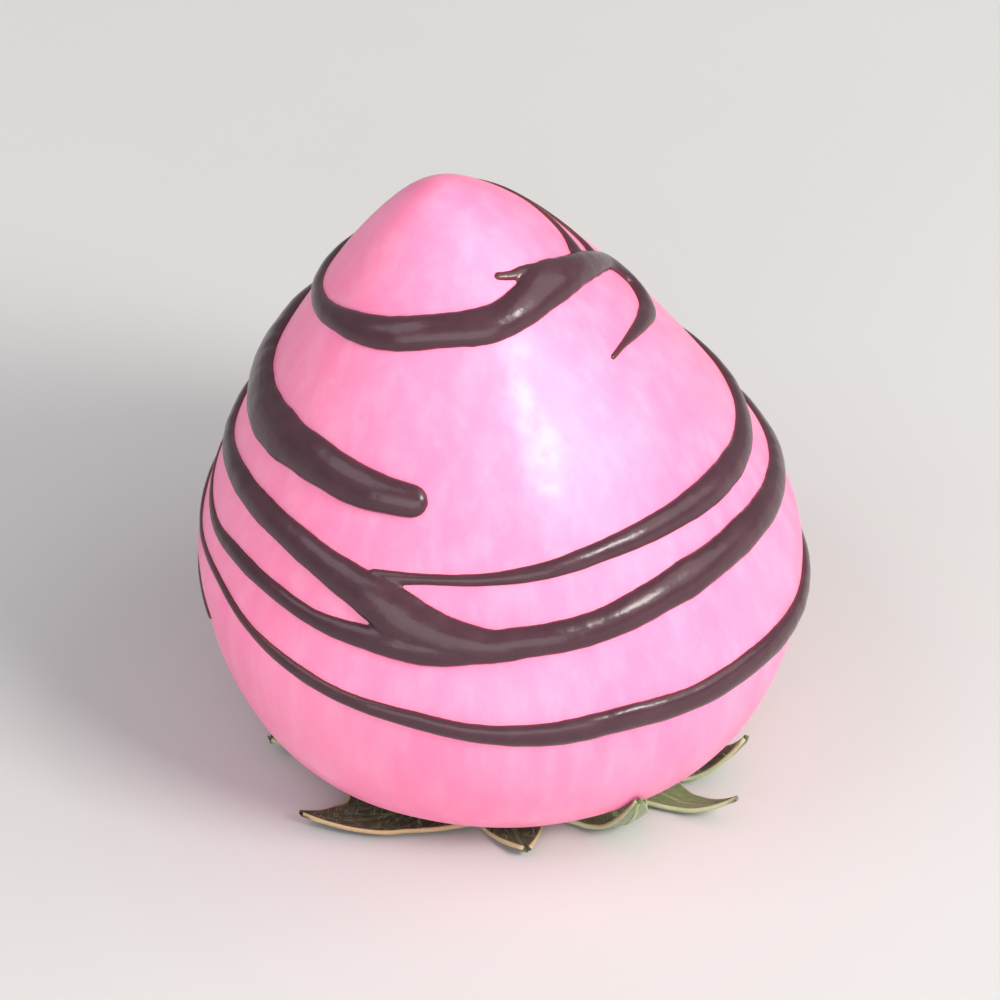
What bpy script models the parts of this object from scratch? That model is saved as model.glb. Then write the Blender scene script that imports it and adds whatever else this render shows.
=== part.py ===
"""Chocolate coated strawberry, tip up on its leafy cap.

Units are metres and +Z is up. The origin is the middle of the cap's flat underside, on the surface
that the strawberry stands on. Azimuths are in degrees, anticlockwise seen from above, with 0 at +X,
so the front is at 270.
"""

import math

import bmesh
import bpy
import numpy as np

# The coat: a squat egg whose tip leans to the left and back.
COAT_RADIUS = 0.0229
COAT_HEIGHT = 0.0482
WIDEST_HEIGHT = 0.0163
FOOT_RADIUS = 0.0154
FOOT_HEIGHT = 0.0018
TIP_LEAN = (-0.0046, 0.0024)

# Handles of the two curves that draw the coat's side, above and below its widest ring.
TIP_HANDLE = 0.0070
FLANK_HANDLE = 0.0056
SHOULDER_HANDLE = 0.0062
FOOT_HANDLE = 0.0042

# The berry isn't quite round: two and three low lobes, as a share of the radius.
TWO_LOBES = (0.011, 81.0)
THREE_LOBES = (0.014, 215.0)

# The hollow under the berry, from its middle out to the lip where the coat ends.
HOLLOW_RINGS = ((0.0, 0.0037), (0.0052, 0.0036), (0.0076, 0.0028), (0.0098, 0.0020))

COAT_SEGMENTS = 60
SIDE_RINGS = 32

# Each dark strand is piped along stations of (azimuth, height of its middle line, width).
STRANDS = {
    "tip_ring": (
        (78, 0.0386, 0.0006), (118, 0.0370, 0.0012), (160, 0.0376, 0.0014), (190, 0.0389, 0.0016),
        (208, 0.0399, 0.0020), (230, 0.0408, 0.0025), (260, 0.0418, 0.0026), (290, 0.0421, 0.0028),
        (310, 0.0425, 0.0032), (326, 0.0427, 0.0036), (344, 0.0421, 0.0030), (360, 0.0411, 0.0025),
        (374, 0.0396, 0.0019), (384, 0.0378, 0.0017), (383, 0.0360, 0.0017), (372, 0.0354, 0.0018),
        (361, 0.0361, 0.0014), (350, 0.0368, 0.0009), (340, 0.0372, 0.0005), (331, 0.0373, 0.0004),
    ),
    "tip_thread": (
        (110, 0.0440, 0.0005), (62, 0.0433, 0.0005), (34, 0.0426, 0.0006), (16, 0.0418, 0.0009),
        (4, 0.0414, 0.0016),
    ),
    "outer_thread": ((56, 0.0430, 0.0005), (36, 0.0411, 0.0006), (22, 0.0398, 0.0009), (12, 0.0396, 0.0014)),
    "tip_spur": ((334, 0.0430, 0.0020), (320, 0.0439, 0.0010), (310, 0.0441, 0.0007), (299, 0.0444, 0.0005)),
    "left_blob": (
        (46, 0.0318, 0.0006), (104, 0.0312, 0.0017), (136, 0.0302, 0.0026), (166, 0.0300, 0.0035),
        (191, 0.0306, 0.0040), (207, 0.0313, 0.0039), (222, 0.0317, 0.0036), (236, 0.0316, 0.0032),
        (246, 0.0316, 0.0027), (256, 0.0316, 0.0023),
    ),
    "slanting_run": (
        (82, 0.0269, 0.0025), (124, 0.0245, 0.0014), (152, 0.0238, 0.0014), (178, 0.0246, 0.0016),
        (192, 0.0256, 0.0020), (206, 0.0262, 0.0022), (220, 0.0263, 0.0023), (234, 0.0257, 0.0027),
        (246, 0.0247, 0.0036), (254, 0.0236, 0.0039), (262, 0.0229, 0.0033), (272, 0.0226, 0.0024),
        (284, 0.0229, 0.0014),
    ),
    "spiral": (
        (242, 0.0262, 0.0012), (256, 0.0268, 0.0008), (268, 0.0270, 0.0009), (284, 0.0273, 0.0013),
        (300, 0.0277, 0.0016), (320, 0.0276, 0.0021), (338, 0.0270, 0.0024), (356, 0.0261, 0.0021),
        (386, 0.0251, 0.0014), (430, 0.0239, 0.0010), (500, 0.0217, 0.0005), (540, 0.0211, 0.0005),
        (554, 0.0213, 0.0009), (566, 0.0220, 0.0013), (580, 0.0222, 0.0013), (592, 0.0220, 0.0014),
        (603, 0.0221, 0.0019), (617, 0.0222, 0.0026), (631, 0.0227, 0.0024), (650, 0.0230, 0.0025),
        (672, 0.0237, 0.0029), (696, 0.0233, 0.0027), (712, 0.0223, 0.0024), (735, 0.0208, 0.0019),
        (795, 0.0190, 0.0014), (870, 0.0183, 0.0008), (905, 0.0185, 0.0005), (922, 0.0190, 0.0006),
        (935, 0.0184, 0.0007), (946, 0.0179, 0.0010), (958, 0.0173, 0.0011), (974, 0.0168, 0.0014),
        (986, 0.0161, 0.0016), (1000, 0.0158, 0.0021), (1013, 0.0160, 0.0022), (1028, 0.0155, 0.0022),
        (1045, 0.0152, 0.0024), (1060, 0.0144, 0.0022), (1080, 0.0133, 0.0021), (1130, 0.0128, 0.0017),
        (1190, 0.0144, 0.0011), (1250, 0.0150, 0.0007), (1278, 0.0140, 0.0005),
    ),
}
STRAND_STEP = 0.0026
LEAST_STRAND_WIDTH = 0.0008
STRAND_RISE = 0.34
MOST_STRAND_RISE = 0.0010
SECTION_ANGLES = (-35, 15, 60, 120, 165, 215)

# The cap: broad and narrow leaves in two layers that pass over each other. Those with a high lift
# curl up round the foot of the coat. Turns and bends are in degrees, and a bend turns the leaf's end.
LEAF_COUNT = 12
FIRST_LEAF_AZIMUTH = 19.0
LEAF_TURNS = (-11, -7, 0, 4, -2, 3, -4, 15, 11, 13, -4, -17)
LEAF_LENGTHS = (
    0.0199, 0.0182, 0.0202, 0.0183, 0.0196, 0.0180, 0.0186, 0.0209, 0.0181, 0.0204, 0.0222, 0.0203,
)
LEAF_WIDTHS = (
    0.0090, 0.0080, 0.0096, 0.0078, 0.0088, 0.0080, 0.0094, 0.0140, 0.0113, 0.0110, 0.0052, 0.0106,
)
LEAF_BENDS = (6, -8, 5, -6, 7, -5, 4, -21, 5, -3, 6, 0)
LEAF_LIFTS = (
    0.0030, 0.0016, 0.0035, 0.0012, 0.0028, 0.0016, 0.0010, 0.0008, 0.0004, 0.0050, 0.0020, 0.0040,
)
LEAF_RISE_START = 0.75
LEAF_TAPER = 5.0
LEAF_LEVELS = (0.0, 0.00040)
LEAF_THICKNESS = 0.00050
LEAF_ROOT_RADIUS = 0.0026
LEAF_WAVE = 0.00012
LEAF_STEPS = 12
LEAF_STRIPS = 4
CROWN_RADIUS = 0.0044
CROWN_HEIGHT = 0.0032

PINK_COAT = (0.93, 0.24, 0.45)
LEAF_GREEN = (0.15, 0.19, 0.08)


def clear_scene():
    for obj in list(bpy.data.objects):
        bpy.data.objects.remove(obj)


def material(name, colour, roughness):
    made = bpy.data.materials.new(name)
    made.use_nodes = True
    shader = made.node_tree.nodes["Principled BSDF"]
    shader.inputs["Base Color"].default_value = (*colour, 1.0)
    shader.inputs["Roughness"].default_value = roughness
    shader.inputs["Metallic"].default_value = 0.0
    return made


def mesh_object(name, bm, collection):
    """An object with bm's mesh, its faces pointing outwards."""
    bmesh.ops.recalc_face_normals(bm, faces=bm.faces)
    mesh = bpy.data.meshes.new(name)
    bm.to_mesh(mesh)
    bm.free()
    obj = bpy.data.objects.new(name, mesh)
    collection.objects.link(obj)
    return obj


def bezier(start, start_handle, end_handle, end, count):
    """count points of a cubic curve, as rows of (radius, height)."""
    t = np.linspace(0.0, 1.0, count)[:, None]
    s = 1.0 - t
    corners = [np.array(p) for p in (start, start_handle, end_handle, end)]
    return s**3 * corners[0] + 3 * s**2 * t * corners[1] + 3 * s * t**2 * corners[2] + t**3 * corners[3]


def coat_side(shoulder_count, flank_count):
    """The coat's outline from its foot to its tip, as rows of (radius, height)."""
    widest = (COAT_RADIUS, WIDEST_HEIGHT)
    shoulder = bezier(
        (FOOT_RADIUS, FOOT_HEIGHT),
        (FOOT_RADIUS + FOOT_HANDLE, FOOT_HEIGHT),
        (COAT_RADIUS, WIDEST_HEIGHT - SHOULDER_HANDLE),
        widest,
        shoulder_count,
    )
    flank = bezier(
        widest,
        (COAT_RADIUS, WIDEST_HEIGHT + FLANK_HANDLE),
        (TIP_HANDLE, COAT_HEIGHT),
        (0.0, COAT_HEIGHT),
        flank_count,
    )
    return np.vstack([shoulder, flank[1:]])


FINE_SIDE = coat_side(200, 600)


def radius_at(height):
    return np.interp(height, FINE_SIDE[:, 1], FINE_SIDE[:, 0])


def shaped(radius, azimuth, height):
    """Where the berry's lobes and lean put a point of that radius, azimuth and height."""
    angle = np.radians(azimuth)
    two_share, two_at = TWO_LOBES
    three_share, three_at = THREE_LOBES
    lobes = (
        1.0
        + two_share * np.cos(2 * (angle - math.radians(two_at)))
        + three_share * np.cos(3 * (angle - math.radians(three_at)))
    )
    climb = np.clip((height - FOOT_HEIGHT) / (COAT_HEIGHT - FOOT_HEIGHT), 0.0, 1.0) ** 2
    x = TIP_LEAN[0] * climb + radius * lobes * np.cos(angle)
    y = TIP_LEAN[1] * climb + radius * lobes * np.sin(angle)
    return np.stack([x, y, height + 0.0 * x], axis=-1)


def on_coat(azimuth, height):
    return shaped(radius_at(height), azimuth, height)


def coat_normal(azimuth, height):
    """The outward direction of the coat there."""
    turn, climb = 0.2, 0.00005
    round_it = on_coat(azimuth + turn, height) - on_coat(azimuth - turn, height)
    up_it = on_coat(azimuth, height + climb) - on_coat(azimuth, height - climb)
    normal = np.cross(round_it, up_it)
    return normal / np.linalg.norm(normal, axis=-1, keepdims=True)


def build_berry(collection):
    """The coated berry as one solid: its outline spun round, then given its lobes and its lean."""
    shoulder_rings = SIDE_RINGS // 3
    outline = np.vstack([HOLLOW_RINGS, coat_side(shoulder_rings, SIDE_RINGS - shoulder_rings)])
    bm = bmesh.new()
    rings = [bm.verts.new((radius, 0.0, height)) for radius, height in outline]
    edges = [bm.edges.new(pair) for pair in zip(rings, rings[1:])]
    bmesh.ops.spin(
        bm,
        geom=rings + edges,
        axis=(0, 0, 1),
        cent=(0, 0, 0),
        angle=math.tau,
        steps=COAT_SEGMENTS,
        use_merge=True,
    )
    bmesh.ops.remove_doubles(bm, verts=bm.verts, dist=1e-6)
    for vert in bm.verts:
        azimuth = math.degrees(math.atan2(vert.co.y, vert.co.x))
        radius = math.hypot(vert.co.x, vert.co.y)
        vert.co = shaped(radius, azimuth, vert.co.z)
    return mesh_object("coated_strawberry", bm, collection)


def smooth_track(stations, step):
    """Stations every step along a smooth curve through the given ones."""
    given = np.array(stations, float)
    places = on_coat(given[:, 0], given[:, 1])
    gaps = np.linalg.norm(np.diff(places, axis=0), axis=1)
    along = np.concatenate([[0.0], np.cumsum(gaps)])
    slopes = np.diff(given, axis=0) / gaps[:, None]
    inner = (gaps[1:, None] * slopes[:-1] + gaps[:-1, None] * slopes[1:]) / (gaps[1:] + gaps[:-1])[:, None]
    tangents = np.vstack([slopes[:1], inner, slopes[-1:]])
    at = np.linspace(0.0, along[-1], max(3, round(along[-1] / step) + 1))
    piece = np.clip(np.searchsorted(along, at, side="right") - 1, 0, len(gaps) - 1)
    span = gaps[piece][:, None]
    t = ((at - along[piece]) / gaps[piece])[:, None]
    return (
        (2 * t**3 - 3 * t**2 + 1) * given[piece]
        + (t**3 - 2 * t**2 + t) * span * tangents[piece]
        + (3 * t**2 - 2 * t**3) * given[piece + 1]
        + (t**3 - t**2) * span * tangents[piece + 1]
    )


def strand_sections(stations):
    """(middle, up, side, half width, rise) of each section of a strand, with a round nose at both ends."""
    track = smooth_track(stations, STRAND_STEP)
    middle = on_coat(track[:, 0], track[:, 1])
    up = coat_normal(track[:, 0], track[:, 1])
    side = np.cross(up, np.gradient(middle, axis=0))
    side /= np.linalg.norm(side, axis=1, keepdims=True)
    width = np.maximum(track[:, 2], LEAST_STRAND_WIDTH)
    half = width / 2
    rise = np.minimum(STRAND_RISE * width, MOST_STRAND_RISE)
    sections = list(zip(middle, up, side, half, rise))
    for at, inner in ((0, 1), (-1, -2)):
        away = middle[at] - middle[inner]
        away /= np.linalg.norm(away)
        nose = (middle[at] + 0.7 * half[at] * away, up[at], side[at], 0.7 * half[at], 0.75 * rise[at])
        sections.insert(0 if at == 0 else len(sections), nose)
    return sections


def build_strand(name, stations, collection):
    """A bead of chocolate along the coat: a low arched section whose foot is inside the berry."""
    bm = bmesh.new()
    rings = []
    for middle, up, side, half, rise in strand_sections(stations):
        angles = np.radians(SECTION_ANGLES)[:, None]
        corners = middle + side * half * np.cos(angles) + up * rise * np.sin(angles)
        rings.append([bm.verts.new(corner) for corner in corners])
    for near, far in zip(rings, rings[1:]):
        for i in range(len(near)):
            bm.faces.new((near[i], near[i - 1], far[i - 1], far[i]))
    bm.faces.new(rings[0])
    bm.faces.new(rings[-1])
    return mesh_object(name, bm, collection)


def fuse(body, parts, solver):
    """Joins every object of the collection to body, in one Boolean union, and removes them."""
    union = body.modifiers.new("union", "BOOLEAN")
    union.operation = "UNION"
    union.operand_type = "COLLECTION"
    union.collection = parts
    union.solver = solver
    bpy.context.view_layer.update()
    graph = bpy.context.evaluated_depsgraph_get()
    fused = bpy.data.meshes.new_from_object(body.evaluated_get(graph))
    body.modifiers.clear()
    body.data = fused
    for obj in list(parts.objects):
        bpy.data.objects.remove(obj)
    bpy.data.collections.remove(parts)


def leaf_half_width(share, width):
    """Half of a leaf's width at that share of its length: broadest before the middle, pointed at the end."""
    belly = 0.55 + 0.45 * math.sin(math.pi * min(share / 0.8, 1.0))
    return width / 2 * (belly * (1.0 - share**LEAF_TAPER) + 0.03)


def rim_of(rows):
    """The outer points of a grid of rows, in order round it."""
    left = [row[0] for row in rows[-2:0:-1]]
    right = [row[-1] for row in rows[1:]]
    return rows[0] + right + rows[-1][-2::-1] + left


def build_leaf(number, collection):
    """One leaf of the cap, a thin wavy solid that lies flat and curls up at its end."""
    azimuth = FIRST_LEAF_AZIMUTH + number * 360.0 / LEAF_COUNT + LEAF_TURNS[number]
    length, width, lift = LEAF_LENGTHS[number], LEAF_WIDTHS[number], LEAF_LIFTS[number]
    level = LEAF_LEVELS[number % 2]
    rise_from = LEAF_ROOT_RADIUS + LEAF_RISE_START * (length - LEAF_ROOT_RADIUS)
    bm = bmesh.new()
    layers = []
    for thickness in (0.0, LEAF_THICKNESS):
        rows = []
        for i in range(LEAF_STEPS + 1):
            share = i / LEAF_STEPS
            turn = math.radians(azimuth + LEAF_BENDS[number] * share**4)
            outward = np.array([math.cos(turn), math.sin(turn), 0.0])
            across = np.array([-outward[1], outward[0], 0.0])
            reach = LEAF_ROOT_RADIUS + share * (length - LEAF_ROOT_RADIUS)
            half = leaf_half_width(share, width)
            row = []
            for j in range(LEAF_STRIPS + 1):
                slide = 2.0 * j / LEAF_STRIPS - 1.0
                wave = LEAF_WAVE * (1.0 + math.sin(9.0 * share + 2.1 * number)) * slide**2
                away = math.hypot(reach, half * slide)
                rise = max(0.0, (away - rise_from) / (length - rise_from))
                slope = 2.0 * lift * rise / (length - rise_from)
                upright = np.array([0.0, 0.0, 1.0]) - slope * outward
                place = outward * reach + across * half * slide
                place[2] = level * (1.0 - share) + lift * rise**2 + wave
                row.append(bm.verts.new(place + upright * thickness / np.linalg.norm(upright)))
            rows.append(row)
        layers.append(rows)
    low, high = layers
    for rows in layers:
        for near, far in zip(rows, rows[1:]):
            for j in range(LEAF_STRIPS):
                bm.faces.new((near[j], near[j + 1], far[j + 1]))
                bm.faces.new((near[j], far[j + 1], far[j]))
    low_rim, high_rim = rim_of(low), rim_of(high)
    for i in range(len(low_rim)):
        bm.faces.new((low_rim[i - 1], low_rim[i], high_rim[i], high_rim[i - 1]))
    return mesh_object(f"leaf_{number:02d}", bm, collection)


def build_crown(collection):
    """The firm middle of the cap, where the leaves meet and the stalk was cut flush."""
    bm = bmesh.new()
    bmesh.ops.create_cone(
        bm,
        cap_ends=True,
        segments=24,
        radius1=CROWN_RADIUS,
        radius2=CROWN_RADIUS * 0.8,
        depth=CROWN_HEIGHT,
    )
    bmesh.ops.translate(bm, verts=bm.verts, vec=(0, 0, CROWN_HEIGHT / 2))
    return mesh_object("calyx", bm, collection)


def finish(obj, made_of, sharp_angle):
    obj.data.materials.clear()
    obj.data.materials.append(made_of)
    obj.data.shade_smooth()
    obj.data.set_sharp_from_angle(angle=math.radians(sharp_angle))


def main():
    clear_scene()
    scene_collection = bpy.context.scene.collection
    berry = build_berry(scene_collection)
    piped = bpy.data.collections.new("piped")
    scene_collection.children.link(piped)
    for name, stations in STRANDS.items():
        build_strand(name, stations, piped)
    fuse(berry, piped, "EXACT")
    finish(berry, material("pink_coat", PINK_COAT, 0.45), 40)

    cap = build_crown(scene_collection)
    leaves = bpy.data.collections.new("leaves")
    scene_collection.children.link(leaves)
    for number in range(LEAF_COUNT):
        build_leaf(number, leaves)
    fuse(cap, leaves, "EXACT")
    finish(cap, material("leaf_green", LEAF_GREEN, 0.6), 40)


main()
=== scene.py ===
"""Looks of the chocolate coated strawberry: pink coating, dark drizzle, berry flesh and leafy cap.

The file is laid out as an add-on and run as a script. Units are metres and +Z is up. Azimuths are in
degrees, anticlockwise seen from above, with 0 at +X, so the front is at 270.
"""

import math

import bpy
import numpy as np
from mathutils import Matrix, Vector


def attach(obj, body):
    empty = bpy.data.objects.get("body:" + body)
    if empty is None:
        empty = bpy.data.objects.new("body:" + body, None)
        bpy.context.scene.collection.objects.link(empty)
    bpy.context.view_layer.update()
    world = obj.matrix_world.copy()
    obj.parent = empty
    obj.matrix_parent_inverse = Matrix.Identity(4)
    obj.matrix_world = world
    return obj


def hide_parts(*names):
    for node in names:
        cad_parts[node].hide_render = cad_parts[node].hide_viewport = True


bl_info = {
    "name": "Chocolate coated strawberry",
    "version": (1, 0, 0),
    "blender": (4, 5, 0),
    "location": "3D View > Sidebar > Strawberry",
    "description": "Dresses the strawberry with its coating, drizzle, flesh and leafy cap",
    "category": "Object",
}

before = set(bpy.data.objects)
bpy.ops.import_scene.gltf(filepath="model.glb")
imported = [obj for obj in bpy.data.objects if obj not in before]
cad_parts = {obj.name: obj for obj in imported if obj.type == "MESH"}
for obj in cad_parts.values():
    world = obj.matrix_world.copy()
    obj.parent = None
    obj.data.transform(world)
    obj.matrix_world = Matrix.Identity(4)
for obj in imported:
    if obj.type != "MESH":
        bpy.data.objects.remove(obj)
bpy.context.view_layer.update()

# The coat: a squat egg whose tip leans to the left and back.
COAT_RADIUS = 0.0229
COAT_HEIGHT = 0.0482
WIDEST_HEIGHT = 0.0163
FOOT_RADIUS = 0.0154
FOOT_HEIGHT = 0.0018
TIP_LEAN = (-0.0046, 0.0024)
TIP_HANDLE = 0.0070
FLANK_HANDLE = 0.0056
SHOULDER_HANDLE = 0.0062
FOOT_HANDLE = 0.0042
TWO_LOBES = (0.011, 81.0)
THREE_LOBES = (0.014, 215.0)

# The coat's thick lip underneath, and the flesh that shows inside it, as (radius, height).
LIP = ((0.0, 0.0052), (0.0132, 0.0044), (0.0138, 0.0028), (0.0143, 0.0019))
FLESH = (
    (0.0, 0.0036), (0.0052, 0.0035), (0.0076, 0.0027), (0.0098, 0.0019), (0.0122, 0.0016),
    (0.0139, 0.0019), (0.0142, 0.0030), (0.0, 0.0050),
)

# Each dark strand is piped along stations of (azimuth, height of its middle line, width).
STRANDS = {
    "tip_ring": (
        (78, 0.0386, 0.0006), (118, 0.0370, 0.0012), (160, 0.0376, 0.0014), (190, 0.0389, 0.0016),
        (208, 0.0399, 0.0020), (230, 0.0408, 0.0025), (260, 0.0418, 0.0026), (290, 0.0421, 0.0028),
        (310, 0.0425, 0.0032), (326, 0.0427, 0.0036), (344, 0.0421, 0.0030), (360, 0.0411, 0.0025),
        (374, 0.0396, 0.0019), (384, 0.0378, 0.0017), (383, 0.0360, 0.0017), (372, 0.0354, 0.0018),
        (361, 0.0361, 0.0014), (350, 0.0368, 0.0009), (340, 0.0372, 0.0005), (331, 0.0373, 0.0004),
    ),
    "tip_thread": (
        (110, 0.0440, 0.0005), (62, 0.0433, 0.0005), (34, 0.0426, 0.0006), (16, 0.0418, 0.0009),
        (4, 0.0414, 0.0016),
    ),
    "outer_thread": ((56, 0.0430, 0.0005), (36, 0.0411, 0.0006), (22, 0.0398, 0.0009), (12, 0.0396, 0.0014)),
    "tip_spur": ((334, 0.0430, 0.0020), (320, 0.0439, 0.0010), (310, 0.0441, 0.0007), (299, 0.0444, 0.0005)),
    "left_blob": (
        (46, 0.0318, 0.0006), (104, 0.0312, 0.0017), (136, 0.0302, 0.0026), (166, 0.0300, 0.0035),
        (191, 0.0306, 0.0040), (207, 0.0313, 0.0039), (222, 0.0317, 0.0036), (236, 0.0316, 0.0032),
        (246, 0.0316, 0.0027), (256, 0.0316, 0.0023),
    ),
    "slanting_run": (
        (82, 0.0269, 0.0025), (124, 0.0245, 0.0014), (152, 0.0238, 0.0014), (178, 0.0246, 0.0016),
        (192, 0.0256, 0.0020), (206, 0.0262, 0.0022), (220, 0.0263, 0.0023), (234, 0.0257, 0.0027),
        (246, 0.0247, 0.0036), (254, 0.0236, 0.0039), (262, 0.0229, 0.0033), (272, 0.0226, 0.0024),
        (284, 0.0229, 0.0014),
    ),
    "spiral": (
        (242, 0.0262, 0.0012), (256, 0.0268, 0.0008), (268, 0.0270, 0.0009), (284, 0.0273, 0.0013),
        (300, 0.0277, 0.0016), (320, 0.0276, 0.0021), (338, 0.0270, 0.0024), (356, 0.0261, 0.0021),
        (386, 0.0251, 0.0014), (430, 0.0239, 0.0010), (500, 0.0217, 0.0005), (540, 0.0211, 0.0005),
        (554, 0.0213, 0.0009), (566, 0.0220, 0.0013), (580, 0.0222, 0.0013), (592, 0.0220, 0.0014),
        (603, 0.0221, 0.0019), (617, 0.0222, 0.0026), (631, 0.0227, 0.0024), (650, 0.0230, 0.0025),
        (672, 0.0237, 0.0029), (696, 0.0233, 0.0027), (712, 0.0223, 0.0024), (735, 0.0208, 0.0019),
        (795, 0.0190, 0.0014), (870, 0.0183, 0.0008), (905, 0.0185, 0.0005), (922, 0.0190, 0.0006),
        (935, 0.0184, 0.0007), (946, 0.0179, 0.0010), (958, 0.0173, 0.0011), (974, 0.0168, 0.0014),
        (986, 0.0161, 0.0016), (1000, 0.0158, 0.0021), (1013, 0.0160, 0.0022), (1028, 0.0155, 0.0022),
        (1045, 0.0152, 0.0024), (1060, 0.0144, 0.0022), (1080, 0.0133, 0.0021), (1130, 0.0128, 0.0017),
        (1190, 0.0144, 0.0011), (1250, 0.0150, 0.0007), (1278, 0.0140, 0.0005),
    ),
}
TRACK_STEP = 0.00016

# A painted highlight, a pale streak that stands in for a broad lamp's reflection, runs down the front of the
# coat from the top point below, as (x, height), leaning to the right.
PAINTED_HIGHLIGHT_TOP = (-0.0006, 0.0425)
PAINTED_HIGHLIGHT_FOOT_HEIGHT = 0.0295
PAINTED_HIGHLIGHT_LEAN = 0.42
PAINTED_HIGHLIGHT_HALF_WIDTH = 0.0018

# Drizzle strands that run into each other set as one piece of chocolate.
DRIZZLE_PIECES = {
    "tip_drizzle": ("tip_ring", "tip_thread", "outer_thread", "tip_spur"),
    "left_drizzle": ("left_blob",),
    "wound_drizzle": ("slanting_run", "spiral"),
}

# The cap: broad and narrow leaves in two layers that pass over each other. Those with a high lift
# curl up round the foot of the coat. Turns and bends are in degrees, and a bend turns the leaf's end.
# A tone of 0 is olive and 1 is grey green.
LEAF_COUNT = 12
FIRST_LEAF_AZIMUTH = 19.0
LEAF_TURNS = (-11, -7, 0, 4, -2, 3, -4, 15, 11, 13, -4, -17)
LEAF_LENGTHS = (
    0.0199, 0.0182, 0.0202, 0.0183, 0.0196, 0.0180, 0.0186, 0.0209, 0.0181, 0.0204, 0.0222, 0.0203,
)
LEAF_WIDTHS = (
    0.0090, 0.0080, 0.0096, 0.0078, 0.0088, 0.0080, 0.0094, 0.0140, 0.0113, 0.0110, 0.0052, 0.0106,
)
LEAF_BENDS = (6, -8, 5, -6, 7, -5, 4, -21, 5, -3, 6, 0)
LEAF_LIFTS = (
    0.0030, 0.0016, 0.0035, 0.0012, 0.0028, 0.0016, 0.0010, 0.0008, 0.0004, 0.0050, 0.0020, 0.0040,
)
LEAF_TONES = (0.5, 0.6, 0.45, 0.6, 0.4, 0.3, 0.35, 0.0, 0.15, 0.95, 0.85, 0.7)
LEAF_RISE_START = 0.75
LEAF_TAPER = 5.0
LEAF_LEVELS = (0.0, 0.0004)
LEAF_ROOT_RADIUS = 0.0026
LEAF_CLEARANCE = 0.0002
GROOVE_DEPTH = 0.00012
PLEAT_DEPTH = 0.00003
VEIN_COUNT = 13.0
VEIN_SLANT = 3.2
WAVE_PHASE_STEP = 2.1

# The cap's firm middle with the stump of its stalk, as (radius, height).
CROWN_RADIUS = 0.0044
CROWN_HEIGHT = 0.0032
STALK_RADIUS = 0.0013
CROWN = (
    (0.0, 0.0), (STALK_RADIUS, 0.0), (STALK_RADIUS, 0.0005), (0.0020, 0.0006), (0.0034, 0.0003),
    (CROWN_RADIUS, 0.0006), (CROWN_RADIUS, 0.0016), (CROWN_RADIUS * 0.8, CROWN_HEIGHT), (0.0, CROWN_HEIGHT),
)

# The seeds in the flesh and the hairs on the leaves. A spacing is the least one, a density is for each
# square metre, a seed's shape is its scale across, along and through it, and the lean is in radians.
SEED_RADIUS = 0.00042
SEED_SHAPE = (0.8, 1.45, 0.6)
SEED_SPACING = 0.0022
SEED_DENSITY = 1.4e5
HAIR_LENGTH = 0.0004
HAIR_TIP_RADIUS = 0.000005
HAIR_ROOT_RADIUS = 0.000014
HAIR_SPACING = 0.0004
HAIR_LEAN = 0.7
HAIR_SIZES = (0.6, 1.3)

# The view of the photograph.
VIEW_TARGET = (-0.0004, 0.0, 0.01985)
VIEW_WIDTH = 0.075

# The studio: each lamp's name, azimuth, elevation, distance, size across and up, watts and colour.
LAMPS = (
    ("key", 323, 39, 0.60, (0.22, 0.16), 3.0, (1.0, 0.97, 0.91)),
    ("right", 352, 42, 0.80, (0.80, 0.70), 3.3, (1.0, 0.97, 0.92)),
    ("front", 264, 18, 0.90, (1.20, 0.50), 4.3, (1.0, 1.0, 1.0)),
    ("left", 200, 50, 0.80, (0.50, 0.50), 1.6, (0.97, 0.96, 1.0)),
)
SKY_COLOUR = (0.95, 0.965, 1.0)
SKY_STRENGTH = 0.46
FLOOR_SIZE = 3.0


def socket_of(sockets, key):
    """The socket of that name or number, among those that the node's settings leave in use."""
    in_use = [socket for socket in sockets if socket.enabled]
    if isinstance(key, int):
        return in_use[key]
    for socket in in_use:
        if socket.name == key:
            return socket
    raise KeyError(f"no socket {key} among {[socket.name for socket in in_use]}")


class Signal:
    """An output socket. Arithmetic on it, with numbers or other signals, adds Math nodes."""

    def __init__(self, tree, socket):
        self.tree = tree
        self.socket = socket

    def maths(self, operation, *operands):
        return self.tree.add("ShaderNodeMath", {"operation": operation}, dict(enumerate(operands)))[0]

    def __add__(self, other):
        return self.maths("ADD", self, other)

    def __radd__(self, other):
        return self.maths("ADD", other, self)

    def __sub__(self, other):
        return self.maths("SUBTRACT", self, other)

    def __rsub__(self, other):
        return self.maths("SUBTRACT", other, self)

    def __mul__(self, other):
        return self.maths("MULTIPLY", self, other)

    def __rmul__(self, other):
        return self.maths("MULTIPLY", other, self)

    def __truediv__(self, other):
        return self.maths("DIVIDE", self, other)

    def __rtruediv__(self, other):
        return self.maths("DIVIDE", other, self)

    def __pow__(self, other):
        return self.maths("POWER", self, other)

    def __abs__(self):
        return self.maths("ABSOLUTE", self)

    def sine(self):
        return self.maths("SINE", self)

    def cosine(self):
        return self.maths("COSINE", self)

    def root(self):
        return self.maths("SQRT", self)

    def at_least(self, least):
        return self.maths("MAXIMUM", self, least)

    def at_most(self, most):
        return self.maths("MINIMUM", self, most)

    def ramp(self, start, end):
        """0 at start, 1 at end, and a soft step between them."""
        settings = {"interpolation_type": "SMOOTHSTEP"}
        sockets = {"Value": self, "From Min": start, "From Max": end}
        return self.tree.add("ShaderNodeMapRange", settings, sockets)["Result"]


class Node:
    """A node that Tree.add has made. Its outputs are read by name or number."""

    def __init__(self, tree, node):
        self.tree = tree
        self.node = node

    def __getitem__(self, key):
        return Signal(self.tree, socket_of(self.node.outputs, key))


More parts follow.
